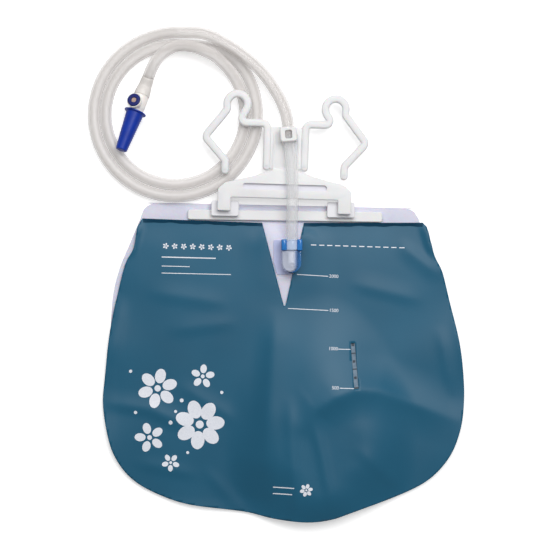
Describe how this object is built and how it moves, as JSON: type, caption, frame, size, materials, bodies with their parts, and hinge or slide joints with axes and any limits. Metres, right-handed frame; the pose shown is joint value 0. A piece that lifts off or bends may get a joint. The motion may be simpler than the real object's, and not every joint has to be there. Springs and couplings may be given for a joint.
{
  "type": "urine drainage bag",
  "caption": "Flat clear bag with a coloured privacy cover, a white hooked bed-rail hanger, a drip chamber, a coiled drainage tube with sampling port and cap, and a slide tap",
  "frame": {"origin": "on the bag's flat back, near its middle, where it lies on a surface", "axes": "+Y from the bag's foot to the hanger's hooks, +X to the right seen from the front, +Z out of the front"},
  "size_m": [0.3191, 0.4192, 0.027],
  "materials": {
    "clear_pvc_film": "soft gloss, slightly milky",
    "teal_vinyl": "soft gloss, creased",
    "white_polypropylene": "satin",
    "white_abs": "satin",
    "clear_pvc_tube": "gloss, milky clear",
    "blue_clear_plastic": "gloss, tinted clear",
    "clear_plastic": "gloss, clear",
    "blue_polyethylene": "soft gloss",
    "tan_rubber": "matte",
    "dark_rubber": "matte"
  },
  "bodies": {
    "bag": {"reservoir_bag": "clear_pvc_film", "privacy_flap": "teal_vinyl", "top_rail": "white_polypropylene", "rail_socket_left": "white_polypropylene", "rail_socket_right": "white_polypropylene", "hanger": "white_polypropylene", "tube_clip": "white_polypropylene", "inlet_collar": "blue_clear_plastic", "drip_chamber": "clear_plastic", "chamber_flange": "clear_plastic", "drip_nozzle": "clear_plastic", "drainage_tube_run": "clear_pvc_tube", "drainage_tube_coil": "clear_pvc_tube", "drainage_tube_tail": "clear_pvc_tube", "sample_connector": "white_abs", "sample_port_ring": "blue_polyethylene", "sample_septum": "tan_rubber", "outlet_flange": "clear_pvc_tube", "outlet_tube": "clear_pvc_tube", "tap_body": "white_abs"},
    "cap": {"protector_cap": "blue_polyethylene"},
    "slide": {"tap_slide": "blue_polyethylene", "tap_seal_left": "dark_rubber", "tap_seal_middle": "dark_rubber", "tap_seal_right": "dark_rubber"}
  },
  "joints": [
    {"name": "cap_pull", "type": "slide", "parent": "bag", "child": "cap", "axis": [-0.3271, -0.9237, 0.1994], "range_m": [0, 0.026]},
    {"name": "tap_slide_push", "type": "slide", "parent": "bag", "child": "slide", "axis": [-1, 0, 0], "range_m": [0, 0.007]}
  ]
}
